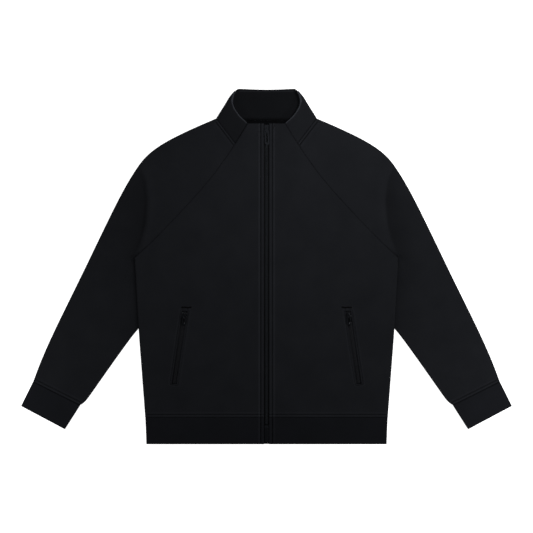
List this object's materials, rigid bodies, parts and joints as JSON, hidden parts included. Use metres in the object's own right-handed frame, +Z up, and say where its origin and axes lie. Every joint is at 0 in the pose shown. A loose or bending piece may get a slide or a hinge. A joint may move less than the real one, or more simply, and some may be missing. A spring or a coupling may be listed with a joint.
{
  "type": "track jacket",
  "caption": "Zip-front raglan track jacket laid flat, with a stand collar, banded hem and cuffs and zipped slant pockets.",
  "frame": {"origin": "on the surface the jacket lies on, under the middle of its outline", "axes": "+X to the wearer's left side, +Y towards the collar, +Z up off the surface, out of the jacket's front"},
  "size_m": [1.0788, 0.7786, 0.016],
  "materials": {
    "knit": "matte black double knit",
    "band_knit": "matte black double knit, folded band",
    "zip_tape": "black woven zip tape",
    "zip_teeth": "black nylon coil",
    "zip_metal": "satin black paint on die-cast zinc"
  },
  "bodies": {
    "jacket": {"back_panel": "knit", "front_left": "knit", "front_right": "knit", "sleeve_left": "knit", "sleeve_right": "knit", "collar": "knit", "hem_band": "band_knit", "cuff_left": "band_knit", "cuff_right": "band_knit", "zip_tape_left": "zip_tape", "zip_tape_right": "zip_tape", "pocket_zip_left": "zip_tape", "pocket_zip_right": "zip_tape", "zip_chain": "zip_teeth", "zip_box": "zip_metal", "zip_slider": "zip_metal", "pocket_slider_left": "zip_metal", "pocket_slider_right": "zip_metal"},
    "centre_pull": {"zip_pull": "zip_metal"},
    "left_pocket_pull": {"pocket_pull_left": "zip_metal"},
    "right_pocket_pull": {"pocket_pull_right": "zip_metal"}
  },
  "joints": [
    {"name": "centre_pull_flip", "type": "hinge", "parent": "jacket", "child": "centre_pull", "pos_m": [0, 0.2975, 0.0133], "axis": [-0.9986, -0.0523, 0], "range_deg": [0, 175]},
    {"name": "left_pocket_pull_flip", "type": "hinge", "parent": "jacket", "child": "left_pocket_pull", "pos_m": [0.18083, -0.10829, 0.0093], "axis": [-1, 0, 0], "range_deg": [0, 175]},
    {"name": "right_pocket_pull_flip", "type": "hinge", "parent": "jacket", "child": "right_pocket_pull", "pos_m": [-0.18083, -0.10829, 0.0093], "axis": [-1, 0, 0], "range_deg": [0, 175]}
  ]
}
